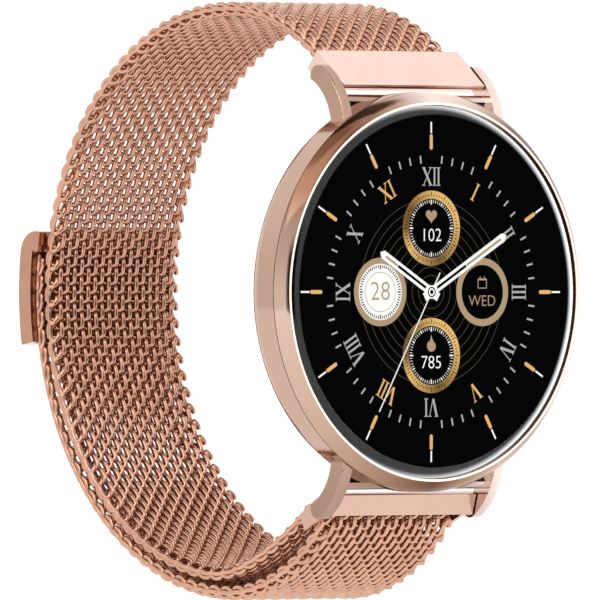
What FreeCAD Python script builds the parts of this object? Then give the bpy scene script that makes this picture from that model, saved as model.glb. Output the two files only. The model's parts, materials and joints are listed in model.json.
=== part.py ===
"""Round smartwatch on a woven metal loop strap, built piece by piece.

Millimetres. +X is 3 o'clock, +Z is 12 o'clock, and the display faces -Y.
The origin is the centre of the sensor face, which rests on the wrist.
Sections are drawn with a depth, counted from the front of the glass towards the wrist.
Strap angles are counted about the middle of the loop: 0 at the display, 90 on top.
"""
import FreeCAD, Part
import math
import os

Vec = FreeCAD.Vector
X_AXIS = Vec(1, 0, 0)
Y_AXIS = Vec(0, 1, 0)

# ---- driving dimensions ----
CASE_DEPTH = 10.0
CASE_R = 21.65
GLASS_R = 20.2
GLASS_THICK = 1.1
SEAM_DEPTH = 1.3
SEAM_WIDTH = 0.1
BEZEL_SEAT_R = 20.6
BEZEL_SEAT_DEPTH = 2.3
CAVITY_R = 18.3
CASE_END = 6.3
COVER_START = 6.5
COVER_BACK = 8.4
COVER_INSIDE = 7.4
FIT_GAP = 0.05

LUG_GAP = 20.3
LUG_THICK = 1.35
PIVOT_DEPTH = 6.2
PIVOT_Z = 22.9
TUBE_R = 0.65
TUBE_BORE_R = 0.42
TIP_R = 0.35
TIP_HOLE_R = 0.40
LUG_HOLE_DEPTH = 1.0
LUG_EDGE_R = 0.2
BRIDGE_LOW_Z = 19.1
BRIDGE_TOP_Z = 21.35
TIP_IN_LUG = 0.8
LINK_WIDTH = 20.0

LOOP_CENTRE_DEPTH = 24.2
INNER_R = 30.85
OUTER_R = 32.8
MESH_THICK = 1.7
MESH_WIDTH = 18.4
KNUCKLE_R = 0.85
SOCKET_R = 0.97
FOLD_R = 1.5
REAR_BAR_R = 0.55

UPPER_SEGMENTS = 7
TAIL_SEGMENTS = 6
OPEN_PIVOT_ANGLE = 172.0
OPEN_PIVOT_GAP = 0.3
TAB_HINGE_ANGLE = 191.5
TAB_START_ANGLE = 189.6
TAB_END_ANGLE = 168.0
TAB_NOSE_ANGLE = 172.0
TAIL_END_ANGLE = 172.3
TAB_UNDER_R = 33.7
TAB_THICK = 1.2
TAB_WIDTH = 20.0
TAB_RAIL_R = 32.9
TAB_NOSE_R = 2.6
POCKET_ANGLES = (173.5, 188.9)
PLATE_THICK = 0.2
MAGNET_THICK = 0.6
MAGNET_WIDTH = 5.9

os.makedirs("parts", exist_ok=True)
pieces = {}


# ---- drawing helpers ----
def at(depth):
    """Y of a depth below the front of the glass."""
    return depth - CASE_DEPTH


def closed_wire(outline, place):
    """Closed wire through an outline; a point marked "via" is the middle of an arc."""
    corners = list(outline) + [outline[0]]
    edges = []
    step = 0
    while step < len(corners) - 1:
        start = place(*corners[step][:2])
        if len(corners[step + 1]) == 3:
            middle = place(*corners[step + 1][:2])
            end = place(*corners[step + 2][:2])
            edges.append(Part.Arc(start, middle, end).toShape())
            step += 2
        else:
            end = place(*corners[step + 1][:2])
            edges.append(Part.LineSegment(start, end).toShape())
            step += 1
    return Part.Wire(edges)


def turned(outline):
    """Solid of revolution about the watch's axis, from (radius, depth) points."""
    face = Part.Face(closed_wire(outline, lambda r, depth: Vec(r, at(depth), 0)))
    return face.revolve(Vec(0, 0, 0), Y_AXIS, 360)


def ring(r_in, r_out, depth_a, depth_b):
    """Flat ring about the watch's axis."""
    return turned([(r_in, depth_a), (r_out, depth_a), (r_out, depth_b), (r_in, depth_b)])


def profile(outline, x_a, x_b):
    """Side outline of (depth, z) points, run along X."""
    face = Part.Face(closed_wire(outline, lambda depth, z: Vec(x_a, at(depth), z)))
    return face.extrude(Vec(x_b - x_a, 0, 0))


def rod_x(radius, x_a, x_b, depth, z):
    """Round bar along X."""
    return Part.makeCylinder(radius, x_b - x_a, Vec(x_a, at(depth), z), X_AXIS)


def disc(radius, depth_a, depth_b, x=0.0, z=0.0):
    """Round bar along the watch's axis."""
    return Part.makeCylinder(radius, depth_b - depth_a, Vec(x, at(depth_a), z), Y_AXIS)


def block(x_a, x_b, depth_a, depth_b, z_a, z_b):
    """Box between two corners."""
    corner = Vec(x_a, at(depth_a), z_a)
    return Part.makeBox(x_b - x_a, depth_b - depth_a, z_b - z_a, corner)


def joined(shapes):
    """Fuse shapes that touch into one solid."""
    return shapes[0].multiFuse(shapes[1:]).removeSplitter()


def group(shapes):
    """Separate solids kept in one node."""
    return Part.makeCompound(shapes)


def flip_z(shape):
    """The same piece mirrored from 12 o'clock to 6 o'clock."""
    return shape.mirror(Vec(0, 0, 0), Vec(0, 0, 1))


def flip_x(shape):
    """The same piece mirrored from the 3 o'clock side to the 9 o'clock side."""
    return shape.mirror(Vec(0, 0, 0), X_AXIS)


# ---- strap path: arcs joined end to end ----
class Arc:
    """One bend of the strap's middle line, in the depth-height plane."""

    def __init__(self, depth, z, radius, start, sweep):
        self.depth = depth
        self.z = z
        self.radius = radius
        self.start = start
        self.sweep = sweep

    def length(self):
        return self.radius * math.radians(abs(self.sweep))

    def angle(self, travel):
        """Angle reached after travelling along the bend."""
        return self.start + math.degrees(travel / self.radius) * math.copysign(1, self.sweep)

    def point(self, angle, lift=0.0):
        """Point (depth, z) at an angle, lifted off the middle line."""
        reach = self.radius + lift
        turn = math.radians(angle)
        return self.depth - reach * math.cos(turn), self.z + reach * math.sin(turn)


def normal(angle):
    """Outward direction (depth, z) at a strap angle."""
    turn = math.radians(angle)
    return -math.cos(turn), math.sin(turn)


def blend_radius(point, angle, circle_r):
    """Radius of the bend that leaves a point squarely and runs into the loop circle."""
    off = point[0] - LOOP_CENTRE_DEPTH, point[1]
    out = normal(angle)
    along = out[0] * off[0] + out[1] * off[1]
    return (circle_r**2 - off[0] ** 2 - off[1] ** 2) / (2 * (circle_r - along))


def meeting_angle(bend_depth, bend_z):
    """Strap angle at which a bend inside the loop circle runs into it."""
    return math.degrees(math.atan2(bend_z, LOOP_CENTRE_DEPTH - bend_depth)) % 360


def stretch(path, start, end):
    """The bends of a path between two distances along it."""
    found = []
    passed = 0.0
    for bend in path:
        low = max(start - passed, 0.0)
        high = min(end - passed, bend.length())
        if high - low > 1e-6:
            first = bend.angle(low)
            found.append(Arc(bend.depth, bend.z, bend.radius, first, bend.angle(high) - first))
        passed += bend.length()
    return found


def path_length(path):
    return sum(bend.length() for bend in path)


def point_on(path, travel):
    """Middle-line point (depth, z) at a distance along the path."""
    if travel <= 0:
        return path[0].point(path[0].start)
    last = stretch(path, 0.0, travel)[-1]
    return last.point(last.start + last.sweep)


def band(bends, thick=MESH_THICK, width=MESH_WIDTH, rise=0.0):
    """Slab of mesh that follows the bends."""
    x_a = -width / 2
    solids = []
    for bend in bends:
        low = rise - thick / 2
        high = rise + thick / 2
        end = bend.start + bend.sweep
        middle = bend.start + bend.sweep / 2
        outline = [
            bend.point(bend.start, low),
            bend.point(bend.start, high),
            bend.point(middle, high) + ("via",),
            bend.point(end, high),
            bend.point(end, low),
            bend.point(middle, low) + ("via",),
        ]
        solids.append(profile(outline, x_a, x_a + width))
    return solids[0] if len(solids) == 1 else joined(solids)


def knuckled(shape, centre):
    """Add the round end that turns in the piece before."""
    knuckle = rod_x(KNUCKLE_R, -MESH_WIDTH / 2, MESH_WIDTH / 2, *centre)
    return joined([shape, knuckle])


def socketed(shape, centre, half=LUG_GAP / 2):
    """Hollow the end that the next piece's round end turns in."""
    return shape.cut(rod_x(SOCKET_R, -half, half, *centre))


# ---- strap path: numbers ----
# upper run: leaves the end link squarely, then meets the loop circle near the top
LINK_FRONT = (3.4, 22.4)
LINK_TOP = (7.9, 26.15)
LINK_THICK = 2.55
link_run = math.hypot(LINK_TOP[0] - LINK_FRONT[0], LINK_TOP[1] - LINK_FRONT[1])
link_along = (LINK_TOP[0] - LINK_FRONT[0]) / link_run, (LINK_TOP[1] - LINK_FRONT[1]) / link_run
link_in = link_along[1], -link_along[0]
LINK_EXIT_ANGLE = math.degrees(math.atan2(link_along[0], link_along[1]))
link_exit = (
    LINK_TOP[0] + link_in[0] * LINK_THICK / 2,
    LINK_TOP[1] + link_in[1] * LINK_THICK / 2,
)
entry_r = blend_radius(link_exit, LINK_EXIT_ANGLE, INNER_R)
entry_out = normal(LINK_EXIT_ANGLE)
entry_centre = link_exit[0] - entry_out[0] * entry_r, link_exit[1] - entry_out[1] * entry_r
entry_end = meeting_angle(*entry_centre)
upper_path = [
    Arc(*entry_centre, entry_r, LINK_EXIT_ANGLE, entry_end - LINK_EXIT_ANGLE),
    Arc(LOOP_CENTRE_DEPTH, 0.0, INNER_R, entry_end, OPEN_PIVOT_ANGLE - entry_end),
]

# lower run: follows the loop circle, then leans in towards the slotted ring
LEAN_START = 262.0
LEAN_R = 14.0
LEAN_SWEEP = 28.0
REACH_R = 37.0
REACH_SWEEP = 20.0
lower_path = [Arc(LOOP_CENTRE_DEPTH, 0.0, INNER_R, OPEN_PIVOT_ANGLE, LEAN_START - OPEN_PIVOT_ANGLE)]
for bend_r, bend_sweep in ((LEAN_R, LEAN_SWEEP), (REACH_R, REACH_SWEEP)):
    last = lower_path[-1]
    turn = last.start + last.sweep
    out = normal(turn)
    tip = last.point(turn)
    centre = tip[0] - out[0] * bend_r, tip[1] - out[1] * bend_r
    lower_path.append(Arc(*centre, bend_r, turn, bend_sweep))
reach_angle = LEAN_START + LEAN_SWEEP + REACH_SWEEP
reach_end = lower_path[-1].point(reach_angle)
reach_out = normal(reach_angle)
rear_bar = reach_end[0] + reach_out[0] * FOLD_R, reach_end[1] + reach_out[1] * FOLD_R

# fold: turns about the ring's rear bar, from the wrist side through the slot to the outside
FOLD_EXIT_ANGLE = -41.35
fold_path = [Arc(*rear_bar, FOLD_R, reach_angle - 180, FOLD_EXIT_ANGLE - (reach_angle - 180))]
fold_exit = fold_path[0].point(FOLD_EXIT_ANGLE)

# tail: runs back outside the lower run to the tab
tail_r = blend_radius(fold_exit, FOLD_EXIT_ANGLE, OUTER_R)
tail_out = normal(FOLD_EXIT_ANGLE)
tail_centre = fold_exit[0] - tail_out[0] * tail_r, fold_exit[1] - tail_out[1] * tail_r
tail_join = meeting_angle(*tail_centre)
tail_path = [
    Arc(*tail_centre, tail_r, FOLD_EXIT_ANGLE + 360, tail_join - FOLD_EXIT_ANGLE - 360),
    Arc(LOOP_CENTRE_DEPTH, 0.0, OUTER_R, tail_join, TAIL_END_ANGLE - tail_join),
]
tail_hinge_travel = path_length(tail_path) - OUTER_R * math.radians(TAB_HINGE_ANGLE - TAIL_END_ANGLE)

upper_step = path_length(upper_path) / UPPER_SEGMENTS
tail_step = tail_hinge_travel / TAIL_SEGMENTS
upper_hinges = [point_on(upper_path, upper_step * n) for n in range(UPPER_SEGMENTS)]
tail_hinges = [point_on(tail_path, tail_step * n) for n in range(TAIL_SEGMENTS + 1)]
open_pivot = point_on(lower_path, 0.0)


# ---- front: glass, bezel, display ----
def cover_glass():
    """Glass whose front edge curves away."""
    edge_drop = 0.7
    edge_run = 1.3
    outline = [
        (0, 0),
        (GLASS_R - edge_run, 0),
        (GLASS_R - 0.38, 0.2, "via"),
        (GLASS_R, edge_drop),
        (GLASS_R, GLASS_THICK),
        (0, GLASS_THICK),
    ]
    return turned(outline)


def bezel_ring():
    """Ring with a bright front rim, a convex flank, and a skirt that sits in the mid case."""
    rim_r = 20.55
    flank_mid_r = 21.2
    flank_mid_depth = 0.55
    ledge_r = 19.15
    skirt_r = BEZEL_SEAT_R - FIT_GAP
    ledge_depth = GLASS_THICK + 0.1
    outline = [
        (GLASS_R + FIT_GAP, 0.05),
        (rim_r, 0.0),
        (flank_mid_r, flank_mid_depth, "via"),
        (CASE_R, SEAM_DEPTH),
        (CASE_R - 0.25, SEAM_DEPTH),
        (CASE_R - 0.25, SEAM_DEPTH + SEAM_WIDTH),
        (skirt_r, SEAM_DEPTH + SEAM_WIDTH),
        (skirt_r, BEZEL_SEAT_DEPTH - 0.1),
        (ledge_r, BEZEL_SEAT_DEPTH - 0.1),
        (ledge_r, ledge_depth),
        (GLASS_R + FIT_GAP, ledge_depth),
    ]
    return turned(outline)


pieces["cover_glass"] = cover_glass()
pieces["bezel_ring"] = bezel_ring()
pieces["glass_adhesive"] = ring(19.2, GLASS_R, GLASS_THICK, GLASS_THICK + 0.1)
pieces["display_panel"] = disc(19.0, GLASS_THICK, 1.9)


# ---- mid case with lugs ----
SCREW_R = 16.6
SCREW_ANGLES = (45, 135, 225, 315)
BUTTON_DEPTH = 3.05
BUTTON_HALF_LENGTH = 2.5
BUTTON_HALF_HEIGHT = 0.9
POCKET_FLOOR_X = 20.7
SEAL_R = 0.8
BOSS_TOP = 5.95


def around(radius, angle):
    """(x, z) of a place on a circle about the watch's axis."""
    turn = math.radians(angle)
    return radius * math.cos(turn), radius * math.sin(turn)


def lug():
    """Lug at 12 o'clock, 3 o'clock side, with the blind hole for the spring bar's tip."""
    outline = [
        (1.7, 18.1),
        (2.75, 21.45, "via"),
        (5.4, 24.3),
        (6.9, 24.3, "via"),
        (7.35, 23.0),
        (4.9, 20.9, "via"),
        (3.9, 18.1),
    ]
    x_in = LUG_GAP / 2
    body = profile(outline, x_in, x_in + LUG_THICK)
    outside = [e for e in body.Edges if min(v.X for v in e.Vertexes) > x_in + LUG_THICK - 0.01]
    body = body.makeFillet(LUG_EDGE_R, [e for e in outside if max(v.Z for v in e.Vertexes) > 19.0])
    hole = rod_x(TIP_HOLE_R, x_in - 0.01, x_in + LUG_HOLE_DEPTH, PIVOT_DEPTH, PIVOT_Z)
    return body, hole


def bridge():
    """Wall between the two lugs at 12 o'clock, behind the spring bar."""
    outline = [
        (2.9, BRIDGE_LOW_Z),
        (2.9, 20.6),
        (3.4, 21.2, "via"),
        (4.2, BRIDGE_TOP_Z),
        (5.2, BRIDGE_TOP_Z),
        (5.2, BRIDGE_LOW_Z),
    ]
    return profile(outline, -LUG_GAP / 2 - 0.2, LUG_GAP / 2 + 0.2)


def button_outline(grow, x_a, x_b):
    """Pill-shaped bar along X for the button's cap or its pocket."""
    half_z = BUTTON_HALF_LENGTH - BUTTON_HALF_HEIGHT
    radius = BUTTON_HALF_HEIGHT + grow
    ends = [rod_x(radius, x_a, x_b, BUTTON_DEPTH, side * half_z) for side in (-1, 1)]
    middle = block(x_a, x_b, BUTTON_DEPTH - radius, BUTTON_DEPTH + radius, -half_z, half_z)
    return joined([middle] + ends)


def mid_case():
    """Metal ring that carries the lugs, the screw bosses and the button's pocket."""
    seam_end = SEAM_DEPTH + SEAM_WIDTH
    outline = [
        (BEZEL_SEAT_R, seam_end),
        (CASE_R, seam_end),
        (CASE_R, 4.1),
        (21.2, 5.2, "via"),
        (19.7, CASE_END),
        (CAVITY_R, CASE_END),
        (CAVITY_R, 4.0),
        (19.0, 4.0),
        (19.0, BEZEL_SEAT_DEPTH),
        (BEZEL_SEAT_R, BEZEL_SEAT_DEPTH),
    ]
    one_lug, one_hole = lug()
    lugs = [one_lug, flip_x(one_lug), flip_z(one_lug), flip_x(flip_z(one_lug))]
    holes = [one_hole, flip_x(one_hole), flip_z(one_hole), flip_x(flip_z(one_hole))]
    bosses = []
    threads = []
    for angle in SCREW_ANGLES:
        x, z = around(SCREW_R, angle)
        foot_x, foot_z = around(SCREW_R + 1.2, angle)
        boss = joined([disc(1.3, 4.4, BOSS_TOP, x, z), disc(1.3, 4.4, BOSS_TOP, foot_x, foot_z)])
        bosses.append(boss.common(disc(CAVITY_R + 0.5, 4.0, COVER_INSIDE)))
        threads.append(disc(0.5, 4.9, 6.2, x, z))
    pocket = button_outline(0.08, POCKET_FLOOR_X, CASE_R + 1)
    stem_hole = rod_x(0.66, 18.0, POCKET_FLOOR_X + 0.1, BUTTON_DEPTH, 0)
    seal_seat = rod_x(SEAL_R + 0.03, 19.4, POCKET_FLOOR_X + 0.01, BUTTON_DEPTH, 0)
    bridges = [bridge(), flip_z(bridge())]
    body = joined([turned(outline)] + lugs + bridges + bosses)
    return body.cut(group(holes + threads + [pocket, stem_hole, seal_seat]))


pieces["mid_case"] = mid_case()


# ---- inside the case ----
def main_board():
    """Round board with notches beside the button switch and its chips on the wrist side."""
    board = disc(17.4, 2.95, 3.65)
    board = board.cut(block(15.6, 19.0, 2.0, 4.0, -2.2, 2.2))
    chips = [
        block(-6.0, 0.5, 3.65, 4.45, -3.5, 3.0),
        block(2.5, 7.5, 3.65, 4.35, -2.0, 3.0),
        block(-4.0, 0.0, 3.65, 4.25, 4.5, 7.5),
        block(3.0, 6.0, 3.65, 4.15, -7.0, -4.5),
    ]
    return joined([board] + chips)


def sensor_places(radius, count):
    """Evenly spaced (x, z) places about the watch's axis."""
    return [around(radius, 360.0 * n / count + 45) for n in range(count)]


CONTACT_Z = -8.7
CONTACT_X = 2.0
CONTACT_R = 0.75
MAGNET_X = 5.0
MAGNET_Z = -7.4
MAGNET_R = 1.3
LENS_HOLLOW_R = 10.9

pieces["inner_frame"] = joined([disc(18.6, 2.0, 2.7), ring(17.7, 18.6, 2.7, 3.9)]).cut(
    group([rod_x(0.9, 15.0, 19.5, BUTTON_DEPTH, 0), block(16.0, 19.0, 2.2, 4.0, -2.3, 2.3)])
)
pieces["main_board"] = main_board()
battery = block(-11.0, 11.0, 4.6, 6.8, -9.6, 9.6)
pieces["battery"] = battery.makeFillet(0.6, battery.Edges)
pieces["vibration_motor"] = disc(3.4, 4.5, 6.7, 0.0, 13.6)
pieces["display_cable"] = joined(
    [block(-3.0, 3.0, 3.65, 3.8, -16.6, -13.0), block(-3.0, 3.0, 3.65, 4.5, -13.2, -13.0)]
)
pieces["button_switch"] = joined(
    [block(16.3, 17.5, 2.3, 3.8, -1.6, 1.6), rod_x(0.5, 17.5, 17.85, BUTTON_DEPTH, 0)]
)


# ---- back ----
def back_cover():
    """Dished cover with the sensor hole and counterbored screw holes."""
    outline = [
        (19.65, COVER_START),
        (19.2, 7.4, "via"),
        (17.9, COVER_BACK),
        (12.0, COVER_BACK),
        (12.0, COVER_INSIDE),
        (17.4, COVER_INSIDE),
        (17.9, 7.0),
        (17.9, 6.0),
        (18.2, 6.0),
        (18.2, COVER_START),
    ]
    body = turned(outline)
    places = [around(SCREW_R, angle) for angle in SCREW_ANGLES]
    pillars = [disc(1.25, 6.15, COVER_INSIDE + 0.1, x, z) for x, z in places]
    body = joined([body] + pillars)
    cuts = [disc(1.05, COVER_BACK - 0.5, COVER_BACK + 1, x, z) for x, z in places]
    cuts += [disc(0.55, 6.0, COVER_BACK, x, z) for x, z in places]
    return body.cut(group(cuts))


def back_screw(x, z):
    """Screw with a cross recess, from the back cover into the mid case's boss."""
    head_front = COVER_BACK - 0.5
    head_back = COVER_BACK - 0.1
    body = joined([disc(0.98, head_front, head_back, x, z), disc(0.48, 5.0, head_front, x, z)])
    slots = [
        block(x - 0.6, x + 0.6, head_back - 0.2, head_back + 1, z - 0.1, z + 0.1),
        block(x - 0.1, x + 0.1, head_back - 0.2, head_back + 1, z - 0.6, z + 0.6),
    ]
    return body.cut(group(slots))


def sensor_lens():
    """Domed black window that rests on the wrist, bored for the charging contacts."""
    outline = [
        (0, CASE_DEPTH),
        (10.6, CASE_DEPTH),
        (12.4, 9.5, "via"),
        (13.2, COVER_BACK),
        (11.9, COVER_BACK),
        (11.9, 7.9),
        (LENS_HOLLOW_R, 7.9),
        (LENS_HOLLOW_R, 9.0),
        (0, 9.0),
    ]
    bores = [disc(CONTACT_R, 8.0, CASE_DEPTH + 1, s * CONTACT_X, CONTACT_Z) for s in (-1, 1)]
    return turned(outline).cut(group(bores))


pieces["back_cover"] = back_cover()
pieces["back_gasket"] = ring(18.5, 19.3, CASE_END, COVER_START)
pieces["back_screws"] = group([back_screw(*around(SCREW_R, angle)) for angle in SCREW_ANGLES])
pieces["sensor_lens"] = sensor_lens()
pieces["sensor_board"] = disc(10.8, 7.0, 7.6)
pieces["optical_sensor"] = group(
    [block(-1.6, 1.6, 7.6, 8.3, -1.6, 1.6)]
    + [block(x - 0.7, x + 0.7, 7.6, 8.2, z - 0.7, z + 0.7) for x, z in sensor_places(5.2, 4)]
)
pieces["charging_contacts"] = group(
    [disc(CONTACT_R, 7.6, CASE_DEPTH - 0.02, s * CONTACT_X, CONTACT_Z) for s in (-1, 1)]
)
pieces["charging_magnets"] = group(
    [disc(MAGNET_R, 7.6, 8.9, s * MAGNET_X, MAGNET_Z) for s in (-1, 1)]
)


# ---- side button ----
CAP_IN_X = 21.15
CAP_OUT_X = 22.4


def side_button():
    """Pill-shaped cap on a round stem with a retaining collar inside the case."""
    cap = button_outline(0.0, CAP_IN_X, CAP_OUT_X)
    rims = [e for e in cap.Edges if min(v.X for v in e.Vertexes) > CAP_OUT_X - 0.01]
    cap = cap.makeFillet(0.3, rims)
    stem = rod_x(0.6, 18.25, CAP_IN_X + 0.1, BUTTON_DEPTH, 0)
    return joined([cap, stem])


pieces["side_button"] = side_button()
pieces["button_seal"] = rod_x(SEAL_R, 19.95, 20.35, BUTTON_DEPTH, 0).cut(
    rod_x(0.6, 19.0, 21.0, BUTTON_DEPTH, 0)
)
pieces["button_spring"] = rod_x(0.93, POCKET_FLOOR_X, CAP_IN_X, BUTTON_DEPTH, 0).cut(
    rod_x(0.72, 20.0, 22.0, BUTTON_DEPTH, 0)
)


# ---- spring bars ----
TUBE_HALF = 9.6
TIP_COLLAR_X = 9.6
KNOB_X = 8.4
KNOB_TRAVEL = 1.1
KNOB_R = 0.3
KNOB_REACH = 1.15


def bar_tube():
    """Tube with its fixed tip on the 9 o'clock side and a slot for the release knob."""
    x_in = LUG_GAP / 2
    tube = rod_x(TUBE_R, -TUBE_HALF, TUBE_HALF, PIVOT_DEPTH, PIVOT_Z)
    fixed_tip = rod_x(TIP_R, -(x_in + TIP_IN_LUG), -TUBE_HALF + 0.1, PIVOT_DEPTH, PIVOT_Z)
    bore = rod_x(TUBE_BORE_R, 2.0, TUBE_HALF + 1, PIVOT_DEPTH, PIVOT_Z)
    slot = block(
        KNOB_X - KNOB_TRAVEL - KNOB_R - 0.1, TUBE_HALF + 1,
        PIVOT_DEPTH, PIVOT_DEPTH + 1, PIVOT_Z - KNOB_R - 0.05, PIVOT_Z + KNOB_R + 0.05,
    )
    return joined([tube, fixed_tip]).cut(group([bore, slot]))


def bar_tip():
    """Sliding tip with the release knob that stands out towards the wrist."""
    x_in = LUG_GAP / 2
    pin = rod_x(TIP_R, 6.4, x_in + TIP_IN_LUG, PIVOT_DEPTH, PIVOT_Z)
    knob = Part.makeCylinder(KNOB_R, KNOB_REACH, Vec(KNOB_X, at(PIVOT_DEPTH), PIVOT_Z), Y_AXIS)
    return joined([pin, knob])


def bar_spring():
    """Coil spring in the tube, drawn as a sleeve of the coil's outer size."""
    outer = rod_x(TUBE_BORE_R - 0.04, 2.0, 6.4, PIVOT_DEPTH, PIVOT_Z)
    return outer.cut(rod_x(0.22, 1.0, 7.0, PIVOT_DEPTH, PIVOT_Z))


for name, place in (("upper", lambda shape: shape), ("lower", flip_z)):
    pieces[name + "_bar_tube"] = place(bar_tube())
    pieces[name + "_bar_tip"] = place(bar_tip())
    pieces[name + "_bar_spring"] = place(bar_spring())


# ---- upper end link and its strap run ----
def knob_window(sign):
    """Space in a strap end for the release knob's travel."""
    depth_b = PIVOT_DEPTH + KNOB_REACH + 2.5
    z = sign * PIVOT_Z
    x_a = KNOB_X - KNOB_TRAVEL - KNOB_R - 0.2
    return block(x_a, KNOB_X + KNOB_R + 0.2, PIVOT_DEPTH, depth_b, z - 0.75, z + 0.75)


def upper_end_link():
    """Flat plate with a rolled lower lip, bored for the spring bar."""
    foot = LINK_TOP[0] + link_in[0] * LINK_THICK, LINK_TOP[1] + link_in[1] * LINK_THICK
    under_r = 1.15
    under = PIVOT_DEPTH + link_in[0] * under_r, PIVOT_Z + link_in[1] * under_r
    outline = [
        LINK_FRONT,
        LINK_TOP,
        foot,
        under,
        (PIVOT_DEPTH + 0.1, PIVOT_Z - under_r, "via"),
        (PIVOT_DEPTH - 0.7, PIVOT_Z - 0.95),
        (4.2, 22.0),
        (3.62, 22.12, "via"),
    ]
    body = profile(outline, -LINK_WIDTH / 2, LINK_WIDTH / 2)
    bore = rod_x(TUBE_R + FIT_GAP, -LINK_WIDTH, LINK_WIDTH, PIVOT_DEPTH, PIVOT_Z)
    body = body.cut(group([bore, knob_window(1)]))
    return socketed(body, upper_hinges[0], MESH_WIDTH / 2 + 0.1)


pieces["upper_end_link"] = upper_end_link()
for n in range(UPPER_SEGMENTS):
    end_travel = upper_step * (n + 1)
    if n == UPPER_SEGMENTS - 1:
        end_travel -= OPEN_PIVOT_GAP / 2
    shape = knuckled(band(stretch(upper_path, upper_step * n, end_travel)), upper_hinges[n])
    if n < UPPER_SEGMENTS - 1:
        shape = socketed(shape, upper_hinges[n + 1])
    pieces["upper_mesh_%d" % (n + 1)] = shape


# ---- slotted ring and the lower run ----
def slotted_ring():
    """Ring with a front bar on the spring bar, two arms, and the rear bar under the fold."""
    front_outline = [
        (4.8, -21.98),
        (5.45, -24.2),
        (6.9, -24.2),
        (7.35, -22.9),
        (6.9, -21.9),
        (5.9, -21.62, "via"),
    ]
    arm_in_x = MESH_WIDTH / 2 + 0.2
    arm_out_x = LINK_WIDTH / 2
    run = rear_bar[0] - PIVOT_DEPTH, rear_bar[1] + PIVOT_Z
    size = math.hypot(*run)
    along = run[0] / size, run[1] / size
    side = -along[1], along[0]
    arm_half = 1.0
    arm_end = rear_bar[0] + along[0] * 0.85, rear_bar[1] + along[1] * 0.85
    outline = [
        (PIVOT_DEPTH + side[0] * arm_half, -PIVOT_Z + side[1] * arm_half),
        (arm_end[0] + side[0] * arm_half, arm_end[1] + side[1] * arm_half),
        (arm_end[0] - side[0] * arm_half, arm_end[1] - side[1] * arm_half),
        (PIVOT_DEPTH - side[0] * arm_half, -PIVOT_Z - side[1] * arm_half),
    ]
    arms = [profile(outline, s * arm_in_x, s * arm_out_x) for s in (-1, 1)]
    front = profile(front_outline, -arm_out_x, arm_out_x)
    rear = rod_x(REAR_BAR_R, -arm_out_x, arm_out_x, *rear_bar)
    bore = rod_x(TUBE_R + FIT_GAP, -LINK_WIDTH, LINK_WIDTH, PIVOT_DEPTH, -PIVOT_Z)
    return joined([front, rear] + arms).cut(group([bore, knob_window(-1)]))


pieces["slotted_ring"] = slotted_ring()
lower_length = path_length(lower_path)
pieces["lower_mesh"] = band(stretch(lower_path, OPEN_PIVOT_GAP / 2, lower_length))
pieces["mesh_fold"] = socketed(band(fold_path), fold_exit)


# ---- tail and magnetic tab ----
for n in range(TAIL_SEGMENTS):
    shape = band(stretch(tail_path, tail_step * n, tail_step * (n + 1)))
    shape = socketed(knuckled(shape, tail_hinges[n]), tail_hinges[n + 1])
    pieces["tail_mesh_%d" % (n + 1)] = shape
pieces["tail_mesh_end"] = knuckled(
    band(stretch(tail_path, tail_hinge_travel, path_length(tail_path))), tail_hinges[-1]
)


def loop_band(radius, thick, start, end, width):
    """Slab on a circle about the loop's middle."""
    bend = Arc(LOOP_CENTRE_DEPTH, 0.0, radius + thick / 2, start, end - start)
    return band([bend], thick, width)


def tab_shell():
    """Curved plate over the tail's end, with side rails and a round nose down to the strap."""
    foot_r = OUTER_R - MESH_THICK / 2
    plate = loop_band(TAB_UNDER_R, TAB_THICK, TAB_END_ANGLE, TAB_START_ANGLE, TAB_WIDTH)
    nose = loop_band(
        foot_r, TAB_UNDER_R - foot_r + 0.2, TAB_END_ANGLE, TAB_NOSE_ANGLE, TAB_WIDTH
    )
    rail_wide = (TAB_WIDTH - MESH_WIDTH) / 2 - 0.1
    rail = loop_band(
        TAB_RAIL_R, TAB_UNDER_R - TAB_RAIL_R + 0.2, TAB_END_ANGLE, TAB_START_ANGLE, rail_wide
    )
    offset = (TAB_WIDTH - rail_wide) / 2
    rails = [rail.translated(Vec(side * offset, 0, 0)) for side in (-1, 1)]
    body = joined([plate, nose] + rails)
    top_r = TAB_UNDER_R + TAB_THICK
    crown = [
        e for e in body.Edges
        if abs(e.CenterOfMass.x) < 0.01
        and math.hypot(e.CenterOfMass.y - at(LOOP_CENTRE_DEPTH), e.CenterOfMass.z) > top_r - 0.01
        and e.CenterOfMass.z > 0
        and e.Length > TAB_WIDTH - 0.01
    ]
    body = body.makeFillet(TAB_NOSE_R, crown)
    pocket = loop_band(
        TAB_UNDER_R - 0.1, PLATE_THICK + MAGNET_THICK + 0.12,
        POCKET_ANGLES[0], POCKET_ANGLES[1], MESH_WIDTH,
    )
    return body.cut(pocket)


pieces["tab_shell"] = tab_shell()
magnet_r = TAB_UNDER_R + PLATE_THICK
magnet = loop_band(
    magnet_r, MAGNET_THICK, POCKET_ANGLES[0] + 0.1, POCKET_ANGLES[1] - 0.1, MAGNET_WIDTH
)
magnet_step = MAGNET_WIDTH + 0.15
pieces["tab_magnets"] = group([magnet.translated(Vec(magnet_step * n, 0, 0)) for n in (-1, 0, 1)])
pieces["tab_plate"] = loop_band(
    TAB_UNDER_R, PLATE_THICK, POCKET_ANGLES[0] + 0.05, POCKET_ANGLES[1] - 0.05, MESH_WIDTH - 0.1
)

# ---- write the pieces ----
for name, shape in pieces.items():
    if not shape.isValid():
        print("not valid:", name)
    print("%-20s %d solid(s) %9.2f mm3" % (name, len(shape.Solids), shape.Volume))
    shape.exportStep(os.path.join("parts", name + ".step"))
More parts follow.
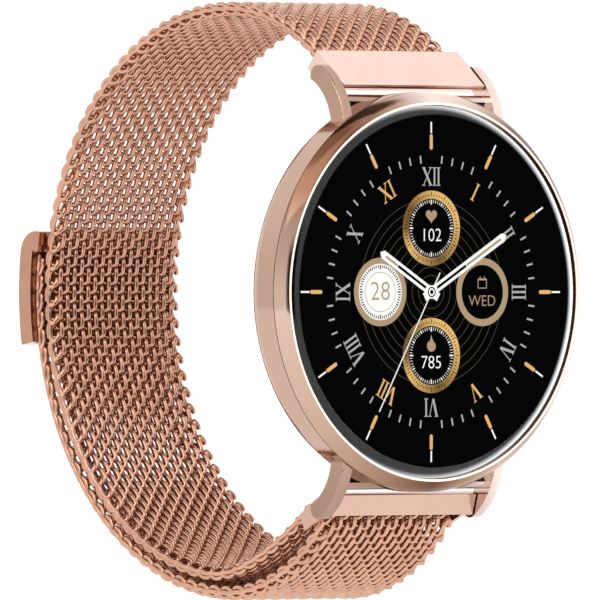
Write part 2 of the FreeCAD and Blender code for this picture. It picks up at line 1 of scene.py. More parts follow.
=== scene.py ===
"""Rose gold smartwatch on a woven wire loop strap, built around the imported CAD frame.

Sizes are in millimetres in the frame's own axes (+X 3 o'clock, +Z 12 o'clock, display facing -Y),
and are turned into metres where a mesh is made.
"""
import json
import math

import bmesh
import bpy
import numpy as np
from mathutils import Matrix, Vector


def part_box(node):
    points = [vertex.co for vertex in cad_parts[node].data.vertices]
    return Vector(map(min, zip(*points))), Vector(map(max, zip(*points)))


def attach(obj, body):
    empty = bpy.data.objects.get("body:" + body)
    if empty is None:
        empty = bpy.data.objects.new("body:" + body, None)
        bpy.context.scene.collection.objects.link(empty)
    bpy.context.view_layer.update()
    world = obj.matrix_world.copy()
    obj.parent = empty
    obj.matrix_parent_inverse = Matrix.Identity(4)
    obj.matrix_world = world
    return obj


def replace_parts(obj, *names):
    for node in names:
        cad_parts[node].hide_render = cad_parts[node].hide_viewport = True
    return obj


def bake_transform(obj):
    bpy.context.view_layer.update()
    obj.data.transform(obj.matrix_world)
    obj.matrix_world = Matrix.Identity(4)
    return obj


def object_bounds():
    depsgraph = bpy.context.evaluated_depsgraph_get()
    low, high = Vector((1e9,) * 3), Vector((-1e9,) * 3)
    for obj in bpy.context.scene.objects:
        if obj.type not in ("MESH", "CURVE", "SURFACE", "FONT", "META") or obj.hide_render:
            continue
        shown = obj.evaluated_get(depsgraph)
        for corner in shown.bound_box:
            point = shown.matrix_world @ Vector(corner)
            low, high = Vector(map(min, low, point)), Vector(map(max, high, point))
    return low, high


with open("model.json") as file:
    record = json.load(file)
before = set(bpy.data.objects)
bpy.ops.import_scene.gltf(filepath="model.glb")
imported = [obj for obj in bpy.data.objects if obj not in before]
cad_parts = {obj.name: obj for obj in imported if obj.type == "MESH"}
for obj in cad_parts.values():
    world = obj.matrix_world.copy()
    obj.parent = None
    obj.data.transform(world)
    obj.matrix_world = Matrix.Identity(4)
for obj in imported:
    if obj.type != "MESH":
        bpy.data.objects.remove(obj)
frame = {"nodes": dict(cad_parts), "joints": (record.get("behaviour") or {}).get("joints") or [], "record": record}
cad_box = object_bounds()

MM = 0.001
NODES = frame["nodes"]
JOINTS = {joint["name"]: joint for joint in frame["joints"]}


# ---------------------------------------------------------------- materials
def new_material(name):
    """Empty node material with its Principled shader."""
    material = bpy.data.materials.new(name)
    material.use_nodes = True
    return material, material.node_tree, material.node_tree.nodes["Principled BSDF"]


def link(tree, source, target):
    tree.links.new(source, target)


def noise(tree, scale, detail=2.0):
    """Noise in object space."""
    place = tree.nodes.new("ShaderNodeTexCoord")
    texture = tree.nodes.new("ShaderNodeTexNoise")
    texture.inputs["Scale"].default_value = scale
    texture.inputs["Detail"].default_value = detail
    link(tree, place.outputs["Object"], texture.inputs["Vector"])
    return texture.outputs["Fac"]


def ramp(tree, factor, low, high, start=0.3, end=0.7):
    """Colour ramp between two values or colours."""
    node = tree.nodes.new("ShaderNodeValToRGB")
    first, last = node.color_ramp.elements
    first.position, last.position = start, end
    first.color = low if hasattr(low, "__len__") else (low, low, low, 1)
    last.color = high if hasattr(high, "__len__") else (high, high, high, 1)
    link(tree, factor, node.inputs["Fac"])
    return node.outputs["Color"]


def flat_place(tree, first, second):
    """Object-space place as a flat vector: the axes named first and second."""
    place = tree.nodes.new("ShaderNodeTexCoord")
    split = tree.nodes.new("ShaderNodeSeparateXYZ")
    flat = tree.nodes.new("ShaderNodeCombineXYZ")
    link(tree, place.outputs["Object"], split.inputs["Vector"])
    link(tree, split.outputs[first], flat.inputs["X"])
    link(tree, split.outputs[second], flat.inputs["Y"])
    return flat.outputs["Vector"]


def sweep_colours(tree, vector, stops):
    """Colour by the angle round a flat vector's origin, from (position, colour) stops."""
    sweep = tree.nodes.new("ShaderNodeTexGradient")
    sweep.gradient_type = "RADIAL"
    link(tree, vector, sweep.inputs["Vector"])
    colours = tree.nodes.new("ShaderNodeValToRGB")
    for _ in range(len(stops) - 2):
        colours.color_ramp.elements.new(0.5)
    for element, (position, colour) in zip(colours.color_ramp.elements, stops):
        element.position = position
        element.color = (*colour, 1)
    link(tree, sweep.outputs["Fac"], colours.inputs["Fac"])
    return colours.outputs["Color"]


CLOUD_SCALE = 0.12
RELIEF_DEPTH = 0.00002


def textured(name, colour, other, metallic, rough_low, rough_high, scale, bump=0.0):
    """Surface whose colour, roughness and relief wander with a fine noise."""
    material, tree, shader = new_material(name)
    grain = noise(tree, scale, 3.0)
    cloud = noise(tree, scale * CLOUD_SCALE, 1.0)
    link(tree, ramp(tree, cloud, (*colour, 1), (*other, 1)), shader.inputs["Base Color"])
    link(tree, ramp(tree, grain, rough_low, rough_high), shader.inputs["Roughness"])
    shader.inputs["Metallic"].default_value = metallic
    if bump:
        relief = tree.nodes.new("ShaderNodeBump")
        relief.inputs["Strength"].default_value = bump
        relief.inputs["Distance"].default_value = RELIEF_DEPTH
        link(tree, grain, relief.inputs["Height"])
        link(tree, relief.outputs["Normal"], shader.inputs["Normal"])
    return material


def unlit(name):
    """Black material that shows only the light it gives off."""
    material, tree, shader = new_material(name)
    shader.inputs["Base Color"].default_value = (0, 0, 0, 1)
    shader.inputs["Specular IOR Level"].default_value = 0.0
    return material, tree, shader


PIXEL_SCALE = 40000.0
PIXEL_DIM = 0.93


def glowing(name, colour, strength=1.0):
    """Lit display pixels: a colour with a faint grain of sub-pixels."""
    material, tree, shader = unlit(name)
    shader.inputs["Roughness"].default_value = 1.0
    grain = noise(tree, PIXEL_SCALE, 0.0)
    dim = tuple(PIXEL_DIM * c for c in colour)
    link(tree, ramp(tree, grain, (*dim, 1), (*colour, 1)), shader.inputs["Emission Color"])
    shader.inputs["Emission Strength"].default_value = strength
    return material


def linear(r, g, b):
    """Linear colour from a display colour out of 255."""
    return tuple(
        ((c / 255 + 0.055) / 1.055) ** 2.4 if c > 10 else c / 255 / 12.92 for c in (r, g, b)
    )


CASE_METAL = textured(
    "case_rose_gold", (0.70, 0.51, 0.43), (0.66, 0.475, 0.40), 1.0, 0.07, 0.12, 2500, 0.02
)
STRAP_METAL = textured(
    "strap_rose_gold", (0.83, 0.62, 0.54), (0.80, 0.59, 0.51), 1.0, 0.10, 0.15, 2500, 0.02
)
WIRE_METAL = textured(
    "wire_rose_gold", (0.63, 0.36, 0.255), (0.56, 0.31, 0.215), 1.0, 0.10, 0.18, 3000, 0.03
)
TAB_METAL = textured(
    "tab_rose_gold", (0.53, 0.29, 0.20), (0.50, 0.27, 0.185), 1.0, 0.16, 0.22, 2500
)
STEEL = textured("plain_steel", (0.55, 0.55, 0.57), (0.45, 0.45, 0.47), 1.0, 0.25, 0.4, 1500, 0.1)
GOLD = textured("contact_gold", (0.83, 0.60, 0.25), (0.78, 0.55, 0.22), 1.0, 0.18, 0.3, 1500, 0.05)
RUBBER = textured("seal_rubber", (0.02, 0.02, 0.02), (0.03, 0.03, 0.03), 0.0, 0.6, 0.8, 1800, 0.2)
PLASTIC = textured("frame_plastic", (0.03, 0.03, 0.033), (0.045, 0.045, 0.05), 0, 0.4, 0.6, 2200, 0.3)
BOARD = textured("board_green", (0.01, 0.10, 0.035), (0.02, 0.14, 0.05), 0.0, 0.3, 0.5, 900, 0.2)
FOIL = textured("battery_foil", (0.55, 0.55, 0.57), (0.48, 0.48, 0.5), 0.6, 0.3, 0.5, 700, 0.3)
AMBER = textured("cable_amber", (0.55, 0.26, 0.05), (0.45, 0.2, 0.04), 0.0, 0.3, 0.45, 900, 0.1)
LENS = textured("lens_black", (0.008, 0.008, 0.01), (0.012, 0.012, 0.014), 0.0, 0.05, 0.1, 500)
RESIN = textured("sensor_resin", (0.25, 0.4, 0.28), (0.35, 0.5, 0.36), 0.0, 0.1, 0.25, 900)
SCREEN = textured("screen_black", (0.0015, 0.0015, 0.0018), (0.002, 0.002, 0.0022), 0, 0.3, 0.4, 800)


GLASS_INDEX = 1.48
GLASS_COAT = 0.12
GLASS_HAZE = 0.012


def glass_material():
    """Clear cover glass with an anti-reflection coat."""
    material, tree, shader = new_material("cover_glass")
    link(tree, ramp(tree, noise(tree, 300.0), 0.0, GLASS_HAZE), shader.inputs["Roughness"])
    shader.inputs["Base Color"].default_value = (1, 1, 1, 1)
    shader.inputs["Transmission Weight"].default_value = 1.0
    shader.inputs["IOR"].default_value = GLASS_INDEX
    shader.inputs["Specular IOR Level"].default_value = GLASS_COAT
    return material


# painted reflection: a ring's tone of painted light and shade is a share of BRIGHT_GOLD, and darker tones are
# warmer by these powers
BRIGHT_GOLD = (0.84, 0.69, 0.62)
WARMING = (1.0, 1.39, 1.69)


def painted_reflection_ring(name, bright, stops):
    """Rose gold with a painted reflection, whose tone of painted light and shade changes round the watch's axis,
    from (clock angle, tone) stops.
    """
    material = textured(name, bright, bright, 1.0, 0.07, 0.12, 2500, 0.02)
    tree = material.node_tree
    colours = [
        (clock / 360, tuple(b * tone**power for b, power in zip(bright, WARMING)))
        for clock, tone in stops
    ]
    colours.append((1.0, colours[0][1]))
    painted = sweep_colours(tree, flat_place(tree, "Z", "X"), colours)
    link(tree, painted, tree.nodes["Principled BSDF"].inputs["Base Color"])
    return material


# painted reflections of the studio on the bezel slope and the case wall, as tones by clock angle
BEZEL_REFLECTION_STOPS = (
    (0, 0.16), (20, 0.4), (45, 0.6), (90, 0.72), (120, 0.3), (145, 0.18), (165, 0.5), (180, 1.0),
    (196, 0.78), (212, 0.17), (230, 0.15), (242, 0.3), (255, 0.52), (270, 0.85), (285, 1.0),
    (300, 0.82), (318, 0.42), (333, 0.62), (352, 0.32),
)
WALL_REFLECTION_STOPS = (
    (0, 0.2), (40, 0.6), (140, 0.6), (185, 0.36), (208, 1.0), (225, 0.95), (240, 0.76), (256, 0.55),
    (270, 0.98), (286, 1.02), (306, 0.66), (312, 1.1), (332, 1.0), (347, 0.14),
)
BEZEL_REFLECTION_METAL = painted_reflection_ring("bezel_rose_gold_painted_reflection", BRIGHT_GOLD, BEZEL_REFLECTION_STOPS)
WALL_REFLECTION_METAL = painted_reflection_ring("wall_rose_gold_painted_reflection", BRIGHT_GOLD, WALL_REFLECTION_STOPS)
RING_METAL = textured(
    "ring_rose_gold", (0.64, 0.43, 0.345), (0.6, 0.4, 0.32), 1.0, 0.12, 0.17, 2500, 0.02
)
# painted shade: a darker rose gold for the bar tubes, which look dark in shadow
BAR_SHADED_METAL = textured("bar_rose_gold_painted_shade", (0.42, 0.19, 0.11), (0.38, 0.17, 0.1), 1.0, 0.15, 0.2, 2500)
NODE_MATERIAL = {
    "tab_shell": TAB_METAL,
    "bezel_ring": BEZEL_REFLECTION_METAL,
    "mid_case": WALL_REFLECTION_METAL,
    "upper_bar_tube": BAR_SHADED_METAL,
    "lower_bar_tube": BAR_SHADED_METAL,
    "slotted_ring": RING_METAL,
}
GLASS = glass_material()
SLOT_MATERIAL = {
    "case_metal": CASE_METAL,
    "strap_metal": STRAP_METAL,
    "wire_mesh": WIRE_METAL,
    "cover_glass": GLASS,
    "display_black": SCREEN,
    "lens_black": LENS,
    "seal_rubber": RUBBER,
    "frame_plastic": PLASTIC,
    "board_green": BOARD,
    "battery_wrap": FOIL,
    "cable_amber": AMBER,
    "plain_steel": STEEL,
    "sensor_glass": RESIN,
    "contact_gold": GOLD,
}
for entry in frame["record"]["subparts"]:
    mesh = NODES[entry["node"]].data
    mesh.materials.clear()
    slot_material = SLOT_MATERIAL[entry["material_slot"]]
    mesh.materials.append(NODE_MATERIAL.get(entry["node"], slot_material))


# ---------------------------------------------------------------- mesh helpers
def add_piece(name, vertices, faces, material, smooth=True):
    """Mesh object from millimetre points in the frame's axes."""
    mesh = bpy.data.meshes.new(name)
    points = np.asarray(vertices, float) * MM
    mesh.from_pydata(points.tolist(), [], faces)
    mesh.materials.append(material)
    mesh.polygons.foreach_set("use_smooth", [smooth] * len(mesh.polygons))
    mesh.update()
    piece = bpy.data.objects.new(name, mesh)
    bpy.context.scene.collection.objects.link(piece)
    return piece


# ---------------------------------------------------------------- strap path
LOOP_Y = 14.2
INNER_R = 30.85
OUTER_R = 32.8
FOLD_R = 1.5
LINK_EXIT_ANGLE = 50.194
OPEN_PIVOT_ANGLE = 172.0
TAIL_END_ANGLE = 172.3
FOLD_EXIT_ANGLE = -41.35
LOWER_BENDS = ((14.0, 28.0), (37.0, 20.0))
LEAN_START = 262.0
TAB_HINGE_ANGLE = 191.5


def direction(angle):
    """Outward (y, z) at a strap angle in degrees: 0 at the display, 90 on top."""
    turn = math.radians(angle)
    return np.array((-math.cos(turn), math.sin(turn)))


class Bend:
    """One arc of the strap's middle line; side is -1 where the strap's outer face looks inwards."""

    def __init__(self, centre, radius, start, sweep, side=1.0):
        self.centre = np.array(centre, float)
        self.radius = radius
        self.start = start
        self.sweep = sweep
        self.side = side
        self.length = radius * math.radians(abs(sweep))

    def end(self):
        return self.centre + self.radius * direction(self.start + self.sweep)


def joint_spot(name):
    """(y, z) of a joint in millimetres."""
    return np.array(JOINTS[name]["pos_m"][1:]) / MM


def run_in(point, angle, circle_r, to_angle, side=1.0):
    """Bend that leaves a point squarely, then the loop circle up to an angle."""
    off = point - (LOOP_Y, 0.0)
    out = direction(angle)
    radius = (circle_r**2 - off @ off) / (2 * (circle_r - out @ off))
    centre = point - radius * out
    meeting = math.degrees(math.atan2(centre[1], LOOP_Y - centre[0])) % 360
    first = Bend(centre, radius, angle, meeting - angle, side)
    return [first, Bend((LOOP_Y, 0.0), circle_r, meeting, to_angle - meeting, side)]


def path_length(path):
    return sum(bend.length for bend in path)


upper_path = run_in(joint_spot("upper_bend_1"), LINK_EXIT_ANGLE, INNER_R, OPEN_PIVOT_ANGLE)
lower_path = [Bend((LOOP_Y, 0.0), INNER_R, OPEN_PIVOT_ANGLE, LEAN_START - OPEN_PIVOT_ANGLE)]
for radius, sweep in LOWER_BENDS:
    angle = lower_path[-1].start + lower_path[-1].sweep
    centre = lower_path[-1].end() - radius * direction(angle)
    lower_path.append(Bend(centre, radius, angle, sweep))
fold_start = lower_path[-1].start + lower_path[-1].sweep - 180
fold = Bend(joint_spot("rear_bar_turn"), FOLD_R, fold_start, FOLD_EXIT_ANGLE - fold_start, -1.0)
tail_bends = run_in(fold.end(), FOLD_EXIT_ANGLE + 360, OUTER_R, TAIL_END_ANGLE, -1.0)
lower_length = path_length(lower_path)
outer_path = lower_path + [fold] + tail_bends


def on_path(path, travel, lift):
    """Points, forward directions and outward directions (y, z) along a path, as arrays."""
    point = np.zeros(travel.shape + (2,))
    along = np.zeros_like(point)
    outward = np.zeros_like(point)
    passed = 0.0
    for number, bend in enumerate(path):
        low = -np.inf if number == 0 else passed
        high = np.inf if number == len(path) - 1 else passed + bend.length
        here = (travel >= low) & (travel < high)
        way = math.copysign(1.0, bend.sweep)
        angle = math.radians(bend.start) + way * (travel[here] - passed) / bend.radius
        out = np.stack((-np.cos(angle), np.sin(angle)), -1)
        forward = way * np.stack((np.sin(angle), np.cos(angle)), -1)
        flip = bend.side * path[0].side
        reach = bend.radius + flip * lift[here]
        point[here] = bend.centre + out * reach[:, None]
        along[here] = forward
        outward[here] = out * flip
        passed += bend.length
    return point, along, outward


# ---------------------------------------------------------------- woven wire
WIRE_R = 0.28
COIL_PITCH = 1.97
LONG_TURNS = 9
SHORT_TURNS = 8
COIL_REACH = 0.86
COIL_RISE = 0.57
ROW_PITCH = 1.0
PAIR_PITCH = 2.0
POINTS_PER_TURN = 16
WIRE_SIDES = 8
EDGE_OUT = 8.96
EDGE_MIDDLE = 8.64
EDGE_IN = 8.36
EDGE_STEPS = 4
STRAIGHTEN = (1.5, 0.6, 0.1)
SQUARE_RISE = 1.5
SQUARE_REACH = 0.2


def coil(turns, along):
    """Centre line (x, along, out) of one flattened coil, whose front and back wires run straight."""
    turn = np.linspace(0, turns, turns * POINTS_PER_TURN + 1)
    swing = 2 * math.pi * turn
    second, fourth, sixth = STRAIGHTEN
    drift = turn - second * np.sin(2 * swing) / (4 * math.pi) + fourth * np.sin(4 * swing) / (8 * math.pi)
    drift -= sixth * np.sin(6 * swing) / (12 * math.pi)
    across = COIL_PITCH * (drift - turns / 2)
    out = COIL_RISE * np.tanh(SQUARE_RISE * np.cos(swing)) / math.tanh(SQUARE_RISE)
    reach = COIL_REACH * np.sin(swing) * (1 + SQUARE_REACH * np.cos(swing) ** 2)
    return np.stack((across, along + reach, out), -1)


def hairpin(before, corners, after):
    """Smooth bend through corners that joins a coil's end to its neighbour at the edge."""
    knots = np.array([before[-3], before[-1], *corners, after[0], after[2]])
    line = []
    for n in range(1, len(knots) - 2):
        a, b, c, d = knots[n - 1:n + 3]
        for step in range(EDGE_STEPS):
            t = step / EDGE_STEPS
            bend = 2 * b + (c - a) * t + (2 * a - 5 * b + 4 * c - d) * t * t
            line.append((bend + (3 * b - a - 3 * c + d) * t**3) / 2)
    return np.array(line[1:])


def closed_frames(line):
    """Two side vectors along a closed line, carried round without a jump."""
    ahead = np.roll(line, -1, 0) - np.roll(line, 1, 0)
    ahead /= np.linalg.norm(ahead, axis=1)[:, None]
    side = np.cross(ahead[0], (0.3, 0.5, 0.8))
    sides = []
    for tangent in ahead:
        side = side - (side @ tangent) * tangent
        side = side / np.linalg.norm(side)
        sides.append(side)
    last = sides[-1] - (sides[-1] @ ahead[0]) * ahead[0]
    twist = math.atan2(np.cross(sides[0], last) @ ahead[0], sides[0] @ last)
    sides = np.array(sides)
    other = np.cross(ahead, sides)
    undo = -twist * np.arange(len(line)) / len(line)
    turned = np.cos(undo)[:, None] * sides + np.sin(undo)[:, None] * other
    return turned, np.cross(ahead, turned)


half_row = ROW_PITCH / 2
long_coil = coil(LONG_TURNS, -half_row)
short_coil = coil(SHORT_TURNS, half_row)[::-1]
right_corners = [
    (EDGE_OUT, 0.1, 0.35),
    (EDGE_OUT + 0.05, 0.7, 0.0),
    (EDGE_OUT - 0.1, 1.15, -0.35),
    (EDGE_MIDDLE, 0.8, -COIL_RISE),
    (EDGE_IN, 0.45, -COIL_RISE),
    (EDGE_IN - 0.14, 0.9, -0.5),
    (EDGE_IN - 0.26, COIL_REACH + half_row, 0.0),
]
left_corners = [
    (0.26 - EDGE_IN, half_row - COIL_REACH, 0.0),
    (-EDGE_IN, 0.2, -0.5),
    (-EDGE_MIDDLE - 0.1, 0.75, -0.3),
    (-EDGE_OUT, 0.6, 0.0),
    (-EDGE_OUT - 0.06, -0.3, 0.05),
    (-EDGE_OUT, -1.1, -0.05),
    (-EDGE_OUT + 0.06, -1.33, 0.2),
]
pair_line = np.concatenate(
    (
        long_coil,
        hairpin(long_coil, right_corners, short_coil),
        short_coil,
        hairpin(short_coil, left_corners, long_coil),
    )
)
pair_side, pair_other = closed_frames(pair_line)
ring_turn = 2 * math.pi * np.arange(WIRE_SIDES) / WIRE_SIDES


def weave(name, path, travels):
    """Pairs of interlinked coils centred at distances along a path."""
    count = len(pair_line)
    vertices = []
    for travel in travels:
        point, along, outward = on_path(path, travel + pair_line[:, 1], pair_line[:, 2])
        centre = np.column_stack((pair_line[:, 0], point))

        def turned(vector):
            bent = vector[:, 1:2] * along + vector[:, 2:3] * outward
            return np.column_stack((vector[:, 0], bent))

        side, other = turned(pair_side), turned(pair_other)
        rings = (
            centre[:, None]
            + WIRE_R * np.cos(ring_turn)[None, :, None] * side[:, None]
            + WIRE_R * np.sin(ring_turn)[None, :, None] * other[:, None]
        )
        vertices.append(rings.reshape(-1, 3))
    i, k = np.meshgrid(np.arange(count), np.arange(WIRE_SIDES), indexing="ij")
    next_i, next_k = (i + 1) % count, (k + 1) % WIRE_SIDES
    corners = (
        i * WIRE_SIDES + k,
        i * WIRE_SIDES + next_k,
        next_i * WIRE_SIDES + next_k,
        next_i * WIRE_SIDES + k,
    )
    one = np.stack(corners, -1).reshape(-1, 4)
    faces = np.concatenate([one + n * count * WIRE_SIDES for n in range(len(travels))])
    piece = add_piece(name, np.concatenate(vertices), faces.tolist(), WIRE_METAL)
    return piece


HINGE_REACH = 3.2
PEEL_REACH = 1.5


def hinge_blend(piece, path, travel, reach=HINGE_REACH):
    """Bake a woven piece's placement into its mesh; the strap points within reach of the joint are found but not
    used.
    """
    spots, _, _ = on_path(path, np.array((travel - reach, travel + reach)), np.zeros(2))
    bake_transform(piece)


def centres(first, last):
    """Evenly spaced pair centres, as close to the pair pitch as fits."""
    count = round((last - first) / PAIR_PITCH)
    return np.linspace(first, last, count + 1)


UPPER_JOINTS = ["upper_bend_%d" % n for n in range(1, 8)]
FIRST_UPPER_CENTRE = 0.75
upper_length = path_length(upper_path)
upper_step = upper_length / len(UPPER_JOINTS)
upper_centres = centres(FIRST_UPPER_CENTRE, upper_length - ROW_PITCH)
for n, joint in enumerate(UPPER_JOINTS):
    hinge = n * upper_step
    near = upper_centres[np.abs(upper_centres - hinge) <= upper_step / 2]
    piece = weave("upper_weave_%d" % (n + 1), upper_path, near)
    hinge_blend(piece, upper_path, hinge)
    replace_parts(piece, "upper_mesh_%d" % (n + 1))
last_near = upper_centres[upper_centres > (len(UPPER_JOINTS) - 0.5) * upper_step]
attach(weave("upper_weave_8", upper_path, last_near), "upper_run_7")

TAIL_JOINTS = ["tail_peel"] + ["tail_bend_%d" % n for n in range(2, 7)] + ["tab_bend"]
TAIL_MESHES = ["tail_mesh_%d" % n for n in range(1, 7)] + ["tail_mesh_end"]
FOLD_LEAD = 1.0
TAIL_LEAD = 0.6
tail_start = lower_length + fold.length
outer_length = path_length(outer_path)
past_tab = OUTER_R * math.radians(TAB_HINGE_ANGLE - TAIL_END_ANGLE)
tab_hinge = tail_start + path_length(tail_bends) - past_tab
tail_step = (tab_hinge - tail_start) / (len(TAIL_JOINTS) - 1)
outer_centres = centres(ROW_PITCH, outer_length - ROW_PITCH)
in_lower = outer_centres < lower_length - FOLD_LEAD
in_tail = outer_centres >= tail_start - TAIL_LEAD
lower_part = outer_centres[in_lower]
fold_part = outer_centres[~in_lower & ~in_tail]
tail_part = outer_centres[in_tail]
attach(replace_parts(weave("lower_weave", outer_path, lower_part), "lower_mesh"), "lower_run")
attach(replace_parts(weave("fold_weave", outer_path, fold_part), "mesh_fold"), "lower_run")
for n, joint in enumerate(TAIL_JOINTS):
    hinge = tail_start + n * tail_step
    low = -np.inf if n == 0 else hinge - tail_step / 2
    high = hinge + tail_step / 2 if n < len(TAIL_JOINTS) - 1 else np.inf
    near = tail_part[(tail_part >= low) & (tail_part < high)]
    piece = weave("tail_weave_%d" % (n + 1), outer_path, near)
    hinge_blend(piece, outer_path, hinge, HINGE_REACH if n else PEEL_REACH)
    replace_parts(piece, TAIL_MESHES[n])


# ---------------------------------------------------------------- bar springs
SPRING_WIRE = 0.22
SPRING_TURNS = 16
SPRING_STEPS = 20


def bar_spring(name):
    """Compression coil in a spring bar's tube, made at one length; the real coil shortens as its pin is drawn in.
    """
    low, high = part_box(name)
    middle = (low + high) / 2 / MM
    outer = (high.z - low.z) / 2 / MM
    start, end = low.x / MM + SPRING_WIRE / 2, high.x / MM - SPRING_WIRE / 2
    radius = outer - SPRING_WIRE / 2
    count = SPRING_TURNS * SPRING_STEPS
    sides = WIRE_SIDES
    vertices = []
    for n in range(count + 1):
        angle = 2 * math.pi * SPRING_TURNS * n / count
        out = Vector((0, math.cos(angle), math.sin(angle)))
        spot = Vector((start + (end - start) * n / count, middle.y, middle.z)) + out * radius
        for k in range(sides):
            round_wire = 2 * math.pi * k / sides
            offset = out * math.cos(round_wire) + Vector((1, 0, 0)) * math.sin(round_wire)
            vertices.append(spot + offset * SPRING_WIRE / 2)
    faces = []
    for n in range(count):
        here, ahead = sides * n, sides * (n + 1)
        for k in range(sides):
            m = (k + 1) % sides
            faces.append([here + k, here + m, ahead + m, ahead + k])
    faces.append([sides * count + k for k in range(sides)])
    faces.append([k for k in reversed(range(sides))])
    piece = add_piece(name + "_coil", vertices, faces, STEEL)
    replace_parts(piece, name)
    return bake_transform(piece)


bar_spring("upper_bar_spring")
bar_spring("lower_bar_spring")


# ---------------------------------------------------------------- dial
GLASS_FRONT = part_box("cover_glass")[0].y / MM
GLASS_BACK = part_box("cover_glass")[1].y / MM
GLASS_FLAT_R = 18.9
GLASS_R = 20.2
GLASS_ROLL = 0.7
GLASS_STEPS = 180
LAYER = 0.012
PLATE = 0.8
SCREEN_GAP = 0.01


def outward_faces(piece):
    """Turn every face of a closed piece outwards."""
    repair = bmesh.new()
    repair.from_mesh(piece.data)
    bmesh.ops.recalc_face_normals(repair, faces=repair.faces)
    repair.to_mesh(piece.data)
    repair.free()


def on_circle(radius, n, steps, centre=(0.0, 0.0)):
    """(x, z) of point n out of steps round a circle."""
    angle = 2 * math.pi * n / steps
    return centre[0] + radius * math.cos(angle), centre[1] + radius * math.sin(angle)


def lathed_glass():
    """Flat disc with a rolled front edge; the two flats stay exactly flat to look through."""
    steps = GLASS_STEPS
    profile = []
    for degrees in range(0, 91, 10):
        turn = math.radians(degrees)
        radius = GLASS_FLAT_R + (GLASS_R - GLASS_FLAT_R) * math.sin(turn)
        profile.append((radius, GLASS_FRONT + GLASS_ROLL * (1 - math.cos(turn))))
    profile.append((GLASS_R, GLASS_BACK))
    vertices = []
    for radius, y in profile:
        for n in range(steps):
            x, z = on_circle(radius, n, steps)
            vertices.append((x, y, z))
    faces = []
    for row in range(len(profile) - 1):
        here, ahead = steps * row, steps * (row + 1)
        for n in range(steps):
            m = (n + 1) % steps
            faces.append([here + n, here + m, ahead + m, ahead + n])
    faces.append([n for n in reversed(range(steps))])
    faces.append([steps * (len(profile) - 1) + n for n in range(steps)])
    piece = add_piece("cover_glass_clear", vertices, faces, GLASS)
    outward_faces(piece)
    for face in piece.data.polygons:
        face.use_smooth = len(face.vertices) == 4
    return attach(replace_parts(piece, "cover_glass"), "case")


lathed_glass()

WHITE = glowing("pixel_white", linear(255, 255, 252), 1.08)
GREY = glowing("pixel_grey", linear(182, 181, 181))
TAN = glowing("pixel_tan", linear(184, 158, 126))
TAN_DIM = glowing("pixel_tan_dim", linear(104, 92, 76))
ORANGE = glowing("pixel_orange", linear(240, 188, 116))
BLACK = glowing("pixel_black", (0.0012, 0.0012, 0.0012))


def dial_piece(name, outlines, material, layer):
    """Thin closed plate per outline, drawn in (x, z), on a layer just inside the glass's back."""
    back = GLASS_BACK - SCREEN_GAP - LAYER * layer
    front = back - LAYER * PLATE
    vertices = []
    faces = []
    for outline in outlines:
        count = len(outline)
        base = len(vertices)
        vertices += [(x, back, z) for x, z in outline]
        vertices += [(x, front, z) for x, z in outline]
        faces.append([base + n for n in range(count)])
        faces.append([base + count + n for n in reversed(range(count))])
        for n in range(count):
            m = (n + 1) % count
            faces.append([base + n, base + count + n, base + count + m, base + m])
    piece = add_piece(name, vertices, faces, material, smooth=False)
    outward_faces(piece)
    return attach(piece, "case")


def ring_plates(centre, r_in, r_out, steps=64):
    """Ring as a row of short closed plates, so that it needs no hole."""
    corners = ((r_in, 0), (r_out, 0), (r_out, 1), (r_in, 1))
    return [[on_circle(r, n + m, steps, centre) for r, m in corners] for n in range(steps)]


def disc_outline(centre, radius, steps=64):
    return [on_circle(radius, n, steps, centre) for n in range(steps)]


def bar(angle, r_in, r_out, width, centre=(0.0, 0.0), tip=None):
    """Radial bar at a clock angle; tip is its width at the outer end."""
    turn = math.radians(angle)
    out = np.array((math.sin(turn), math.cos(turn)))
    side = np.array((out[1], -out[0]))
    tip = width if tip is None else tip
    base = np.array(centre)
    corners = [
        base + out * r_in - side * width / 2,
        base + out * r_in + side * width / 2,
        base + out * r_out + side * tip / 2,
        base + out * r_out - side * tip / 2,
    ]
    return [tuple(corner) for corner in corners]


def capsule(angle, r_in, r_out, width):
    """Radial bar with round ends."""
    turn = math.radians(angle)
    out = np.array((math.sin(turn), math.cos(turn)))
    side = np.array((out[1], -out[0]))
    half = width / 2
    points = []
    for start, middle in ((0, r_out - half), (math.pi, r_in + half)):
        for n in range(9):
            swing = start + math.pi * n / 8
            points.append(tuple(out * (middle + half * math.sin(swing)) + side * half * math.cos(swing)))
    return points


def stroke(p, q, width):
    """Straight stroke between two points."""
    p, q = np.array(p, float), np.array(q, float)
    side = np.array((q[1] - p[1], p[0] - q[0]))
    side = side / np.linalg.norm(side) * width / 2
    return [tuple(p - side), tuple(p + side), tuple(q + side), tuple(q - side)]


LETTER_HEIGHT = 1.9
LETTER_GAP = 0.06
THICK, THIN, SERIF = 0.29, 0.1, 0.1


def roman_letter(letter, x):
    """Strokes of one serifed Roman letter from x onwards, and the next letter's start."""
    low, high = -LETTER_HEIGHT / 2, LETTER_HEIGHT / 2
    if letter == "I":
        width = 0.52
        middle = x + width / 2
        strokes = [stroke((middle, low), (middle, high), THICK * 0.8)]
        feet = [(x, x + width, low), (x, x + width, high)]
    elif letter == "V":
        width = 1.4
        strokes = [
            stroke((x + 0.22, high), (x + width / 2 + 0.02, low), THICK),
            stroke((x + width - 0.18, high), (x + width / 2 + 0.06, low), THIN),
        ]
        feet = [(x, x + 0.5, high), (x + width - 0.42, x + width, high)]
    else:
        width = 1.42
        strokes = [
            stroke((x + 0.2, high), (x + width - 0.2, low), THICK),
            stroke((x + width - 0.2, high), (x + 0.2, low), THIN),
        ]
        feet = [
            (x, x + 0.46, high), (x + width - 0.46, x + width, high),
            (x, x + 0.46, low), (x + width - 0.46, x + width, low),
        ]
    strokes += [stroke((a, z), (b, z), SERIF) for a, b, z in feet]
    return strokes, x + width + LETTER_GAP


